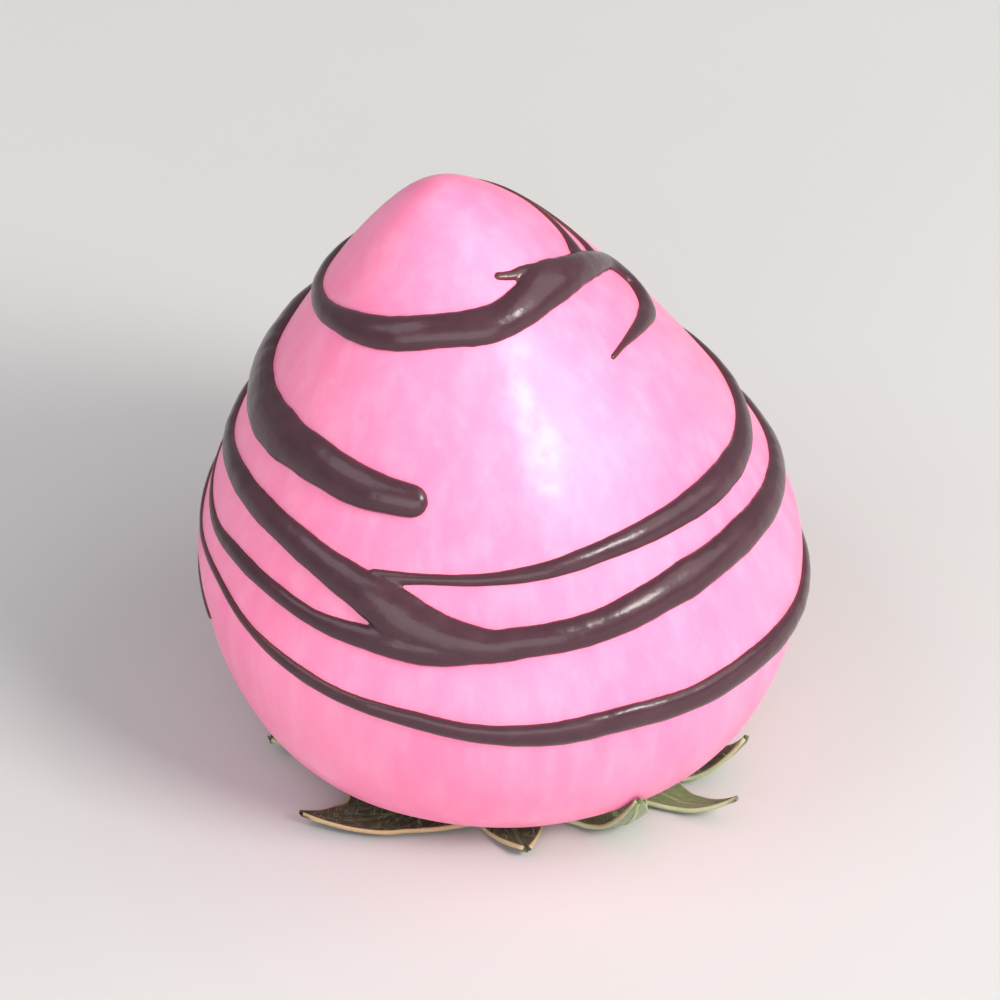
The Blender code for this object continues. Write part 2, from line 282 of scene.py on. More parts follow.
class Tree:
    """A tree of nodes, for a finish or for a shape."""

    def __init__(self, node_tree):
        self.node_tree = node_tree

    def add(self, kind, settings=None, sockets=None):
        """Adds a node: its settings first, then the values or links of its sockets."""
        node = self.node_tree.nodes.new(kind)
        for key, value in (settings or {}).items():
            setattr(node, key, value)
        for key, value in (sockets or {}).items():
            self.feed(socket_of(node.inputs, key), value)
        return Node(self, node)

    def feed(self, socket, value):
        if isinstance(value, Signal):
            self.node_tree.links.new(value.socket, socket)
        elif socket.type == "RGBA":
            socket.default_value = (*value, 1.0)
        else:
            socket.default_value = value

    def mix(self, factor, first, second):
        """A colour between first and second."""
        sockets = {"Factor": factor, "A": first, "B": second}
        return self.add("ShaderNodeMix", {"data_type": "RGBA"}, sockets)["Result"]

    def noise(self, place, scale, detail=2.0, roughness=0.5):
        sockets = {"Vector": place, "Scale": scale, "Detail": detail, "Roughness": roughness}
        return self.add("ShaderNodeTexNoise", None, sockets)["Fac"]

    def vector(self, operation, *operands):
        return self.add("ShaderNodeVectorMath", {"operation": operation}, dict(enumerate(operands)))[0]

    def scaled(self, vector, scale):
        return self.add("ShaderNodeVectorMath", {"operation": "SCALE"}, {0: vector, "Scale": scale})[0]

    def combined(self, x, y, z):
        return self.add("ShaderNodeCombineXYZ", None, {0: x, 1: y, 2: z})[0]

    def separated(self, vector):
        node = self.add("ShaderNodeSeparateXYZ", None, {0: vector})
        return node[0], node[1], node[2]


class ShapeTree(Tree):
    """A Geometry Nodes tree with named inputs, which ends in Realize Instances and Set Material."""

    KINDS = {
        float: "NodeSocketFloat",
        int: "NodeSocketInt",
        bpy.types.Object: "NodeSocketObject",
        bpy.types.Material: "NodeSocketMaterial",
    }

    def __init__(self, name, inputs):
        group = bpy.data.node_groups.new(name, "GeometryNodeTree")
        super().__init__(group)
        self.values = {**inputs}
        group.interface.new_socket("Geometry", in_out="INPUT", socket_type="NodeSocketGeometry")
        for title, value in inputs.items():
            kind = next(kind for given, kind in self.KINDS.items() if isinstance(value, given))
            group.interface.new_socket(title, in_out="INPUT", socket_type=kind)
        group.interface.new_socket("Geometry", in_out="OUTPUT", socket_type="NodeSocketGeometry")
        self.input = self.add("NodeGroupInput")

    def position(self):
        return self.add("GeometryNodeInputPosition")["Position"]

    def named(self, title, data_type="FLOAT"):
        settings = {"data_type": data_type}
        return self.add("GeometryNodeInputNamedAttribute", settings, {"Name": title})["Attribute"]

    def store(self, geometry, title, value, data_type="FLOAT"):
        settings = {"data_type": data_type, "domain": "POINT"}
        sockets = {"Geometry": geometry, "Name": title, "Value": value}
        return self.add("GeometryNodeStoreNamedAttribute", settings, sockets)["Geometry"]

    def moved(self, geometry, position):
        sockets = {"Geometry": geometry, "Position": position}
        return self.add("GeometryNodeSetPosition", None, sockets)["Geometry"]

    def nudged(self, geometry, offset):
        sockets = {"Geometry": geometry, "Offset": offset}
        return self.add("GeometryNodeSetPosition", None, sockets)["Geometry"]

    def end(self, geometry):
        smooth = self.add("GeometryNodeSetShadeSmooth", None, {"Geometry": geometry})["Geometry"]
        real = self.add("GeometryNodeRealizeInstances", None, {"Geometry": smooth})["Geometry"]
        sockets = {"Geometry": real, "Material": self.input["Material"]}
        done = self.add("GeometryNodeSetMaterial", None, sockets)["Geometry"]
        self.add("NodeGroupOutput", None, {"Geometry": done})

    def put_on(self, obj):
        """Adds the tree to obj as a modifier, and sets its inputs by their identifiers."""
        modifier = obj.modifiers.new(self.node_tree.name, "NODES")
        modifier.node_group = self.node_tree
        for item in self.node_tree.interface.items_tree:
            if item.in_out == "INPUT" and item.name in self.values:
                modifier[item.identifier] = self.values[item.name]


def mesh_object(name, points, edges=(), faces=(), values=None):
    """An object with that mesh at the origin, and numbers on its points as named attributes."""
    mesh = bpy.data.meshes.new(name)
    mesh.from_pydata([tuple(map(float, point)) for point in points], list(edges), list(faces))
    for title, numbers in (values or {}).items():
        mesh.attributes.new(title, "FLOAT", "POINT").data.foreach_set("value", list(map(float, numbers)))
    obj = bpy.data.objects.new(name, mesh)
    bpy.context.scene.collection.objects.link(obj)
    return obj


def polyline(name, points):
    return mesh_object(name, points, [(i, i + 1) for i in range(len(points) - 1)])


def settle(obj):
    """Applies the object's modifiers, so that a plain mesh is left."""
    bpy.context.view_layer.update()
    graph = bpy.context.evaluated_depsgraph_get()
    mesh = bpy.data.meshes.new_from_object(obj.evaluated_get(graph))
    obj.modifiers.clear()
    obj.data = mesh
    mesh.name = obj.name
    return obj


def hand_over(obj, node):
    """Ties a finished piece to the frame."""
    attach(obj, "root")
    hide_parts(node)


def bezier(start, start_handle, end_handle, end, count):
    """count points of a cubic curve, as rows of (radius, height)."""
    t = np.linspace(0.0, 1.0, count)[:, None]
    s = 1.0 - t
    corners = [np.array(p) for p in (start, start_handle, end_handle, end)]
    return s**3 * corners[0] + 3 * s**2 * t * corners[1] + 3 * s * t**2 * corners[2] + t**3 * corners[3]


def coat_side(shoulder_count, flank_count):
    """The coat's outline from its foot to its tip, as rows of (radius, height)."""
    widest = (COAT_RADIUS, WIDEST_HEIGHT)
    shoulder = bezier(
        (FOOT_RADIUS, FOOT_HEIGHT),
        (FOOT_RADIUS + FOOT_HANDLE, FOOT_HEIGHT),
        (COAT_RADIUS, WIDEST_HEIGHT - SHOULDER_HANDLE),
        widest,
        shoulder_count,
    )
    flank = bezier(
        widest,
        (COAT_RADIUS, WIDEST_HEIGHT + FLANK_HANDLE),
        (TIP_HANDLE, COAT_HEIGHT),
        (0.0, COAT_HEIGHT),
        flank_count,
    )
    return np.vstack([shoulder, flank[1:]])


FINE_SIDE = coat_side(200, 600)


def on_coat(azimuth, height):
    """Points of the coat at those azimuths and heights."""
    radius = np.interp(height, FINE_SIDE[:, 1], FINE_SIDE[:, 0])
    angle = np.radians(azimuth)
    lobes = (
        1.0
        + TWO_LOBES[0] * np.cos(2 * (angle - math.radians(TWO_LOBES[1])))
        + THREE_LOBES[0] * np.cos(3 * (angle - math.radians(THREE_LOBES[1])))
    )
    climb = np.clip((height - FOOT_HEIGHT) / (COAT_HEIGHT - FOOT_HEIGHT), 0.0, 1.0) ** 2
    x = TIP_LEAN[0] * climb + radius * lobes * np.cos(angle)
    y = TIP_LEAN[1] * climb + radius * lobes * np.sin(angle)
    return np.stack([x, y, height], axis=-1)


def smooth_track(stations, step):
    """Stations every step along a smooth curve through the given ones."""
    given = np.array(stations, float)
    places = on_coat(given[:, 0], given[:, 1])
    gaps = np.linalg.norm(np.diff(places, axis=0), axis=1)
    along = np.concatenate([[0.0], np.cumsum(gaps)])
    slopes = np.diff(given, axis=0) / gaps[:, None]
    inner = (gaps[1:, None] * slopes[:-1] + gaps[:-1, None] * slopes[1:]) / (gaps[1:] + gaps[:-1])[:, None]
    tangents = np.vstack([slopes[:1], inner, slopes[-1:]])
    at = np.linspace(0.0, along[-1], max(3, round(along[-1] / step) + 1))
    piece = np.clip(np.searchsorted(along, at, side="right") - 1, 0, len(gaps) - 1)
    span = gaps[piece][:, None]
    t = ((at - along[piece]) / gaps[piece])[:, None]
    return (
        (2 * t**3 - 3 * t**2 + 1) * given[piece]
        + (t**3 - 2 * t**2 + t) * span * tangents[piece]
        + (3 * t**2 - 2 * t**3) * given[piece + 1]
        + (t**3 - t**2) * span * tangents[piece + 1]
    )


def finish(name, build, constants=None):
    """A material whose shader takes constants as they are, and the rest from build(tree, place)."""
    material = bpy.data.materials.new(name)
    material.use_nodes = True
    material.node_tree.nodes.clear()
    tree = Tree(material.node_tree)
    place = tree.add("ShaderNodeTexCoord")["Object"]
    shader = tree.add("ShaderNodeBsdfPrincipled", None, {**(constants or {}), **build(tree, place)})
    tree.add("ShaderNodeOutputMaterial", None, {"Surface": shader["BSDF"]})
    return material


def bump(tree, height, distance):
    return tree.add("ShaderNodeBump", None, {"Height": height, "Distance": distance})["Normal"]


def coating_finish(settings):
    """Pink coating: satin, with faint pale streaks from the tip to the foot and a painted highlight down the
    front.
    """

    def build(tree, place):
        stretch = {"Vector": place, "Scale": (1.0, 1.0, 0.16)}
        drawn_out = tree.add("ShaderNodeMapping", None, stretch)["Vector"]
        streaks = tree.noise(drawn_out, 520.0, 3.0, 0.6).ramp(0.35, 0.75)
        clouds = tree.noise(place, 95.0, 2.0, 0.5).ramp(0.35, 0.70)
        specks = tree.noise(place, 900.0, 2.0, 0.5).ramp(0.62, 0.78)
        x, y, height = tree.separated(place)
        # Painted highlight: a pale streak down the front of the coat, where a broad lamp's reflection falls.
        wander = (tree.noise(place, 220.0, 2.0, 0.5) - 0.5) * 0.0036
        off_painted_highlight = abs(x + wander - PAINTED_HIGHLIGHT_TOP[0] - (PAINTED_HIGHLIGHT_TOP[1] - height) * PAINTED_HIGHLIGHT_LEAN)
        painted_highlight = 1.0 - off_painted_highlight.ramp(0.0, PAINTED_HIGHLIGHT_HALF_WIDTH)
        painted_highlight = painted_highlight * (1.0 - (height + wander).ramp(PAINTED_HIGHLIGHT_TOP[1] - 0.002, PAINTED_HIGHLIGHT_TOP[1]))
        painted_highlight = painted_highlight * (height + wander).ramp(PAINTED_HIGHLIGHT_FOOT_HEIGHT, PAINTED_HIGHLIGHT_FOOT_HEIGHT + 0.003)
        painted_highlight = painted_highlight * (1.0 - y.ramp(-0.004, 0.0))
        painted_highlight = painted_highlight * (tree.noise(place, 330.0, 3.0, 0.6).ramp(0.36, 0.62) * 0.7 + 0.3)
        # The pale marks add the coating's own streaks, clouds and specks to the painted highlight.
        pale = (clouds * 0.10 + streaks * 0.14 + specks * 0.06 + painted_highlight * 0.34).at_most(1.0)
        relief = streaks * 0.5 + clouds * 0.8 + tree.noise(place, 2200.0, 2.0) * 0.12
        return {
            "Base Color": tree.mix(pale, settings.colour, settings.bloom_and_highlight),
            "Roughness": 0.50 + streaks * 0.10 + specks * 0.06,
            "Normal": bump(tree, relief, 0.00004),
        }

    constants = {
        "Subsurface Weight": 0.22,
        "Subsurface Radius": (1.0, 0.45, 0.55),
        "Subsurface Scale": 0.0016,
        "Coat Weight": 0.25,
        "Coat Roughness": 0.45,
    }
    return finish("pink_coating", build, constants)


def drizzle_finish(settings):
    """Dark chocolate: glossy, and reddish brown where a strand thins out to its edge."""
    red = (0.150, 0.028, 0.022)

    def build(tree, place):
        lift = tree.add("ShaderNodeAttribute", {"attribute_name": "lift"})["Fac"]
        edge = 1.0 - lift.ramp(0.00002, 0.00030)
        cloudy = tree.noise(place, 420.0, 3.0, 0.55)
        paler = tuple(1.5 * part for part in settings.colour)
        colour = tree.mix(cloudy.ramp(0.40, 0.75) * 0.5, settings.colour, paler)
        colour = tree.mix(edge * 0.65, colour, red)
        relief = tree.noise(place, 700.0, 2.0) + tree.noise(place, 3000.0, 2.0) * 0.15
        return {
            "Base Color": colour,
            "Roughness": 0.17 + cloudy * 0.12,
            "Normal": bump(tree, relief, 0.00005),
        }

    return finish("chocolate_drizzle", build, {"Specular IOR Level": 0.38})


def flesh_finish(settings):
    """Ripe strawberry: red, paler towards the cap, with pale fibres."""
    pale = (0.82, 0.42, 0.28)

    def build(tree, place):
        x, y, _ = tree.separated(place)
        reach = (x * x + y * y).root()
        fibres = tree.noise(place, 900.0, 3.0, 0.6)
        inner = 1.0 - (reach + fibres * 0.002).ramp(0.0055, 0.0120)
        paleness = (inner * 0.85 + fibres.ramp(0.5, 0.8) * 0.2).at_most(1.0)
        return {
            "Base Color": tree.mix(paleness, settings.flesh_colour, pale),
            "Roughness": 0.32 + fibres * 0.2,
            "Normal": bump(tree, fibres, 0.00012),
        }

    constants = {"Subsurface Weight": 0.3, "Subsurface Radius": (1.0, 0.25, 0.15), "Subsurface Scale": 0.002}
    return finish("berry_flesh", build, constants)


def seed_finish():
    """Seeds: straw yellow to brown."""

    def build(tree, place):
        grain = tree.noise(place, 3000.0, 2.0)
        return {
            "Base Color": tree.mix(grain, (0.62, 0.40, 0.10), (0.40, 0.20, 0.05)),
            "Roughness": 0.3 + grain * 0.2,
        }

    return finish("seed", build)


def leaf_finish(settings):
    """Cap leaf: grey green to olive, with a pale midrib, side veins and a pale rim."""
    olive = (0.032, 0.027, 0.005)
    tan_rim = (0.62, 0.42, 0.22)
    green_rim = (0.46, 0.50, 0.28)
    vein_colour = (0.36, 0.42, 0.17)

    def build(tree, place):
        along = tree.add("ShaderNodeAttribute", {"attribute_name": "along"})["Fac"]
        across = tree.add("ShaderNodeAttribute", {"attribute_name": "across"})["Fac"]
        tone = tree.add("ShaderNodeAttribute", {"attribute_name": "tone"})["Fac"]
        side = abs(across)
        grain = tree.noise(place, 1500.0, 3.0, 0.6)
        broad = tree.noise(place, 260.0, 2.0)
        midrib = 1.0 - side.ramp(0.03, 0.12)
        slant = (along * VEIN_COUNT - side * VEIN_SLANT + broad * 0.5) * math.tau
        veins = slant.cosine().ramp(0.72, 1.0) * (1.0 - side.ramp(0.75, 0.95))
        # A pale band along the leaf's rim, tan on olive leaves and light green on grey green ones.
        rim = (side + grain * 0.08).ramp(0.95, 1.04)
        body = tree.mix((tone + broad * 0.3 - 0.15).ramp(0.0, 1.0), olive, settings.leaf_colour)
        body = tree.mix(grain.ramp(0.4, 0.8) * 0.35, body, tuple(1.9 * part for part in settings.leaf_colour))
        veined = (midrib * 0.75 + veins * 0.28) * (tone * 0.7 + 0.3)
        colour = tree.mix(veined.at_most(1.0), body, vein_colour)
        colour = tree.mix(rim * 0.8, colour, tree.mix(tone.ramp(0.0, 0.4), tan_rim, green_rim))
        relief = grain * 0.4 - veins * 0.6 + midrib * 0.9
        return {
            "Base Color": colour,
            "Roughness": 0.48 + grain * 0.22,
            "Normal": bump(tree, relief, 0.00010),
        }

    constants = {"Subsurface Weight": 0.08, "Subsurface Scale": 0.0006, "Sheen Weight": 0.15}
    return finish("calyx_leaf", build, constants)


def crown_finish(settings):
    """The cap's firm middle: pale green with fine ribs, and a dry brown cut at the stalk."""

    def build(tree, place):
        x, y, _ = tree.separated(place)
        reach = (x * x + y * y).root()
        grain = tree.noise(place, 1800.0, 3.0, 0.6)
        cut = 1.0 - (reach + grain * 0.0004).ramp(0.0011, 0.0017)
        green = tree.mix(grain, settings.leaf_colour, (0.30, 0.34, 0.12))
        return {
            "Base Color": tree.mix(cut * 0.8, green, (0.30, 0.20, 0.10)),
            "Roughness": 0.5 + grain * 0.3,
            "Normal": bump(tree, grain, 0.00010),
        }

    return finish("crown", build, {"Subsurface Weight": 0.05, "Subsurface Scale": 0.0006})


def hair_finish():
    """Leaf hairs: dull pale green."""

    def build(tree, place):
        return {"Base Color": tree.mix(tree.noise(place, 600.0), (0.36, 0.38, 0.24), (0.58, 0.58, 0.44))}

    return finish("leaf_hair", build, {"Roughness": 0.6})


def floor_finish(settings):
    """Plain pale floor with a trace of grain."""

    def build(tree, place):
        grain = tree.noise(place, 60.0, 3.0)
        darker = tuple(0.97 * part for part in settings.floor_colour)
        return {"Base Color": tree.mix(grain, settings.floor_colour, darker), "Roughness": 0.6 + grain * 0.1}

    return finish("floor", build)


def lathe_tree(name, material, segments, rings, lobed, unevenness, patch):
    """A tree that turns an outline into a closed skin with the berry's lobes and lean."""
    shape = ShapeTree(
        name,
        {
            "Segments": int(segments),
            "Rings": int(rings),
            "Lobes": float(lobed),
            "Unevenness": float(unevenness),
            "Patch scale": float(patch),
            "Material": material,
        },
    )
    given = shape.input
    outline = shape.add("GeometryNodeMeshToCurve", None, {"Mesh": given["Geometry"]})["Curve"]
    sockets = {
        "Size X": 1.0,
        "Size Y": 1.0,
        "Vertices X": given["Segments"] + 1.0,
        "Vertices Y": given["Rings"],
    }
    grid = shape.add("GeometryNodeMeshGrid", None, sockets)["Mesh"]
    u, v, _ = shape.separated(shape.position())
    angle = (u + 0.5) * math.tau
    sample = shape.add(
        "GeometryNodeSampleCurve",
        {"mode": "FACTOR", "use_all_curves": True},
        {"Curves": outline, "Factor": v + 0.5},
    )
    reach, _, height = shape.separated(sample["Position"])
    two = ((angle - math.radians(TWO_LOBES[1])) * 2.0).cosine() * TWO_LOBES[0]
    three = ((angle - math.radians(THREE_LOBES[1])) * 3.0).cosine() * THREE_LOBES[0]
    wide = reach * (1.0 + (two + three) * given["Lobes"])
    climb = ((height - FOOT_HEIGHT) / (COAT_HEIGHT - FOOT_HEIGHT)).at_least(0.0).at_most(1.0)
    climb = climb * climb
    x = wide * angle.cosine() + climb * TIP_LEAN[0]
    y = wide * angle.sine() + climb * TIP_LEAN[1]
    skin = shape.moved(grid, shape.combined(x, y, height))
    skin = shape.add("GeometryNodeMergeByDistance", None, {"Geometry": skin, "Distance": 1e-6})["Geometry"]
    normal = shape.add("GeometryNodeInputNormal")["Normal"]
    uneven = (shape.noise(shape.position(), given["Patch scale"], 1.0) - 0.5) * given["Unevenness"]
    shape.end(shape.nudged(skin, shape.scaled(normal, uneven)))
    return shape


def drizzle_tree(coating, settings, material):
    """A tree that sweeps a low arched bead, with round noses, along each track on the coating."""
    shape = ShapeTree(
        "drizzle_bead",
        {
            "Coating": coating,
            "Rise": float(settings.rise),
            "Most rise": float(settings.most_rise),
            "Sink": float(settings.sink),
            "Lumpiness": float(settings.lumpiness),
            "Sides": 20,
            "Material": material,
        },
    )
    given = shape.input
    coat = shape.add("GeometryNodeObjectInfo", None, {"Object": given["Coating"]})["Geometry"]
    track = shape.add("GeometryNodeMeshToCurve", None, {"Mesh": given["Geometry"]})["Curve"]
    middle = shape.position()
    normal = shape.add("GeometryNodeInputNormal")["Normal"]
    up = shape.add(
        "GeometryNodeSampleNearestSurface",
        {"data_type": "FLOAT_VECTOR"},
        {"Mesh": coat, "Value": normal, "Sample Position": middle},
    )["Value"]
    tangent = shape.add("GeometryNodeInputTangent")["Tangent"]
    side = shape.vector("NORMALIZE", shape.vector("CROSS_PRODUCT", up, tangent))
    half = shape.named("half")
    come = shape.add("GeometryNodeSplineParameter")["Length"]
    length = shape.add("GeometryNodeSplineLength")["Length"]
    from_end = (come.at_most(length - come) / half).at_most(1.0)
    nose = (1.0 - (1.0 - from_end) * (1.0 - from_end)).root().at_least(0.05)
    lump = (shape.noise(middle, 420.0, 2.0) - 0.5) * given["Lumpiness"]
    width = half * nose * (1.0 + lump)
    swell = (shape.noise(middle, 300.0, 2.0) - 0.5) * given["Lumpiness"]
    arch = (half * 2.0 * given["Rise"]).at_most(given["Most rise"]) * nose * (1.0 + swell * 1.5)
    track = shape.store(track, "middle", middle, "FLOAT_VECTOR")
    track = shape.store(track, "side", shape.scaled(side, width), "FLOAT_VECTOR")
    track = shape.store(track, "up", up, "FLOAT_VECTOR")
    track = shape.store(track, "arch", arch)
    sockets = {"Resolution": given["Sides"], "Radius": 1.0}
    ring = shape.add("GeometryNodeCurvePrimitiveCircle", None, sockets)["Curve"]
    turn = shape.add("GeometryNodeSplineParameter")["Factor"] * math.tau
    ring = shape.store(ring, "turn", turn)
    sockets = {"Curve": track, "Profile Curve": ring, "Fill Caps": True}
    tube = shape.add("GeometryNodeCurveToMesh", None, sockets)["Mesh"]
    turned = shape.named("turn")
    sine = turned.sine()
    climb = sine.at_least(0.0) * shape.named("arch") + sine.at_most(0.0) * given["Sink"]
    place = shape.vector(
        "ADD",
        shape.named("middle", "FLOAT_VECTOR"),
        shape.vector(
            "ADD",
            shape.scaled(shape.named("side", "FLOAT_VECTOR"), turned.cosine()),
            shape.scaled(shape.named("up", "FLOAT_VECTOR"), climb),
        ),
    )
    shape.end(shape.moved(tube, place))
    return shape


def lift_tree(coating, material):
    """A tree that notes on each point how far it stands off the coating."""
    shape = ShapeTree("drizzle_lift", {"Coating": coating, "Material": material})
    coat = shape.add("GeometryNodeObjectInfo", None, {"Object": shape.input["Coating"]})["Geometry"]
    nearest = shape.add("GeometryNodeProximity", {"target_element": "FACES"}, {"Geometry": coat})
    shape.end(shape.store(shape.input["Geometry"], "lift", nearest["Distance"]))
    return shape


def leaf_tree(settings, material):
    """A tree that lays one leaf out from each point: pointed, wavy, grooved and curled up at its end."""
    shape = ShapeTree(
        "cap_leaves",
        {
            "Root radius": LEAF_ROOT_RADIUS,
            "Thickness": float(settings.leaf_thickness),
            "Wave": float(settings.wave),
            "Steps": 56,
            "Strips": 25,
            "Material": material,
        },
    )
    given = shape.input
    sockets = {"Size X": 1.0, "Size Y": 2.0, "Vertices X": given["Steps"], "Vertices Y": given["Strips"]}
    grid = shape.add("GeometryNodeMeshGrid", None, sockets)["Mesh"]
    x, y, _ = shape.separated(shape.position())
    grid = shape.store(grid, "along", x + 0.5)
    grid = shape.store(grid, "across", y)
    sockets = {"Points": given["Geometry"], "Instance": grid}
    leaves = shape.add("GeometryNodeInstanceOnPoints", None, sockets)["Instances"]
    leaves = shape.add("GeometryNodeRealizeInstances", None, {"Geometry": leaves})["Geometry"]
    along, across = shape.named("along"), shape.named("across")
    phase = shape.named("phase")
    belly = ((along / 0.8).at_most(1.0) * math.pi).sine() * 0.45 + 0.55
    ragged = 1.0 + ((along * 23.0 + phase * 3.0).sine() * 0.5 + (along * 51.0 + phase).sine() * 0.3) * 0.035
    half = shape.named("width") * 0.5 * (belly * (1.0 - along ** LEAF_TAPER) + 0.03) * ragged
    length = shape.named("length")
    reach = given["Root radius"] + along * (length - given["Root radius"])
    bent = shape.named("azimuth") + shape.named("bend") * along ** 4.0
    outward_x, outward_y = bent.cosine(), bent.sine()
    slide = across * half
    side = abs(across)
    away = (reach * reach + slide * slide).root()
    rise_from = given["Root radius"] + (length - given["Root radius"]) * LEAF_RISE_START
    rise = ((away - rise_from) / (length - rise_from)).at_least(0.0)
    wave = ((along * 9.0 + phase).sine() + 1.0) * across * across * given["Wave"]
    groove = (1.0 - side.ramp(0.0, 0.16)) * -GROOVE_DEPTH
    pleats = ((along * VEIN_COUNT - side * VEIN_SLANT) * math.tau).cosine() * -PLEAT_DEPTH * (1.0 - side)
    height = (
        shape.named("level") * (1.0 - along) + shape.named("lift") * rise * rise + wave + groove + pleats
        + given["Thickness"] + LEAF_CLEARANCE
    )
    place_x = outward_x * reach - outward_y * slide
    place_y = outward_y * reach + outward_x * slide
    shape.end(shape.moved(leaves, shape.combined(place_x, place_y, height)))
    return shape


def scatter_tree(name, material, spacing, density, seed, pieces):
    """A tree that sets small shapes upright on a surface; pieces(shape, points) makes the instances."""
    shape = ShapeTree(
        name,
        {"Spacing": float(spacing), "Density": float(density), "Seed": int(seed), "Material": material},
    )
    given = shape.input
    spots = shape.add(
        "GeometryNodeDistributePointsOnFaces",
        {"distribute_method": "POISSON"},
        {
            "Mesh": given["Geometry"],
            "Distance Min": given["Spacing"],
            "Density Max": given["Density"],
            "Seed": given["Seed"],
        },
    )
    shape.end(pieces(shape, spots))
    return shape


def seed_instances(shape, spots):
    """Flat oval seeds, half sunk in the flesh."""
    ball = shape.add("GeometryNodeMeshIcoSphere", None, {"Radius": SEED_RADIUS, "Subdivisions": 2})["Mesh"]
    sockets = {
        "Points": spots["Points"],
        "Instance": ball,
        "Rotation": spots["Rotation"],
        "Scale": SEED_SHAPE,
    }
    return shape.add("GeometryNodeInstanceOnPoints", None, sockets)["Instances"]


def hair_instances(shape, spots):
    """Fine hairs that lean at random."""
    cone = shape.add(
        "GeometryNodeMeshCone",
        {"fill_type": "NGON"},
        {
            "Vertices": 3,
            "Radius Top": HAIR_TIP_RADIUS,
            "Radius Bottom": HAIR_ROOT_RADIUS,
            "Depth": HAIR_LENGTH,
        },
    )["Mesh"]
    lean = shape.add(
        "FunctionNodeRandomValue",
        {"data_type": "FLOAT_VECTOR"},
        {"Min": (-HAIR_LEAN,) * 3, "Max": (HAIR_LEAN,) * 3, "Seed": 5},
    )["Value"]
    turn = shape.add("FunctionNodeRotateRotation", None, {"Rotation": spots["Rotation"], "Rotate By": lean})
    size = shape.add(
        "FunctionNodeRandomValue",
        {"data_type": "FLOAT"},
        {"Min": HAIR_SIZES[0], "Max": HAIR_SIZES[1], "Seed": 9},
    )["Value"]
    sockets = {"Points": spots["Points"], "Instance": cone, "Rotation": turn["Rotation"], "Scale": size}
    return shape.add("GeometryNodeInstanceOnPoints", None, sockets)["Instances"]


def colour_property(name, description, default):
    return bpy.props.FloatVectorProperty(
        name=name, description=description, subtype="COLOR", size=3, min=0.0, max=1.0, default=default
    )


def length_property(name, description, default):
    return bpy.props.FloatProperty(
        name=name, description=description, subtype="DISTANCE", unit="LENGTH", precision=5, default=default
    )


def share_property(name, description, default):
    return bpy.props.FloatProperty(
        name=name, description=description, subtype="FACTOR", min=0.0, max=1.0, default=default
    )


class CoatingSettings(bpy.types.PropertyGroup):
    colour: colour_property("Coating colour", "Colour of the pink coating", (0.93, 0.205, 0.40))
    # One colour serves both the coating's pale streaks and its painted highlight.
    bloom_and_highlight: colour_property("Bloom colour", "Colour of the pale streaks in the coating", (1.0, 0.62, 0.78))
    unevenness: length_property("Unevenness", "How far the coating swells in low patches", 0.00022)
    segments: bpy.props.IntProperty(name="Segments", description="Facets round the coating", default=220)
    rings: bpy.props.IntProperty(name="Rings", description="Rings from the lip to the tip", default=170)


class DrizzleSettings(bpy.types.PropertyGroup):
    colour: colour_property("Drizzle colour", "Colour of the dark chocolate", (0.056, 0.021, 0.030))
    rise: share_property("Rise", "Height of a bead as a share of its width", 0.31)
    most_rise: length_property("Most rise", "Greatest height of a bead", 0.00095)
    sink: length_property("Sink", "Depth of a bead's foot in the coating", 0.00035)
    lumpiness: share_property("Lumpiness", "How unevenly a bead was piped, as a share of its size", 0.22)
    swell: length_property("Swell", "Added to both sides of a strand, which melting narrows", 0.00005)
    voxel: length_property("Detail", "Smallest detail where strands run together", 0.00012)
    kept_share: share_property("Kept share", "Share of the fine facets that is kept", 0.5)


class CapSettings(bpy.types.PropertyGroup):
    flesh_colour: colour_property("Flesh colour", "Colour of the ripe berry", (0.55, 0.028, 0.018))
    leaf_colour: colour_property("Leaf colour", "Colour of the cap's leaves", (0.150, 0.195, 0.085))
    leaf_thickness: length_property("Leaf thickness", "Thickness of a leaf", 0.00034)
    wave: length_property("Wave", "Height of the waves along a leaf's rim", 0.00013)
    hairs: bpy.props.FloatProperty(
        name="Hairs", description="Hairs for each square metre of leaf", min=0.0, default=2.2e6
    )


class StageSettings(bpy.types.PropertyGroup):
    floor_colour: colour_property("Floor colour", "Colour of the plain floor", (0.55, 0.545, 0.54))
    elevation: bpy.props.FloatProperty(
        name="Elevation",
        description="Angle of the view above the level",
        subtype="ANGLE",
        default=math.radians(40),
    )
    lens: bpy.props.FloatProperty(name="Lens", description="Focal length", unit="CAMERA", default=1000.0)
    strength: bpy.props.FloatProperty(
        name="Light strength", description="Scales every lamp and the sky", min=0.0, default=1.0
    )


class STRAWBERRY_OT_coating(bpy.types.Operator):
    """Turn the coat's outline into the pink coating"""

    bl_idname = "strawberry.coating"
    bl_label = "Pink coating"

    def execute(self, context):
        settings = context.scene.strawberry_coating
        outline = np.vstack([LIP, coat_side(60, 200)])
        coating = polyline("pink_coating", [(radius, 0.0, height) for radius, height in outline])
        lathe_tree(
            "coating_skin",
            coating_finish(settings),
            segments=settings.segments,
            rings=settings.rings,
            lobed=1.0,
            unevenness=settings.unevenness,
            patch=110.0,
        ).put_on(coating)
        settle(coating)
        hand_over(coating, "coated_strawberry")
        return {"FINISHED"}


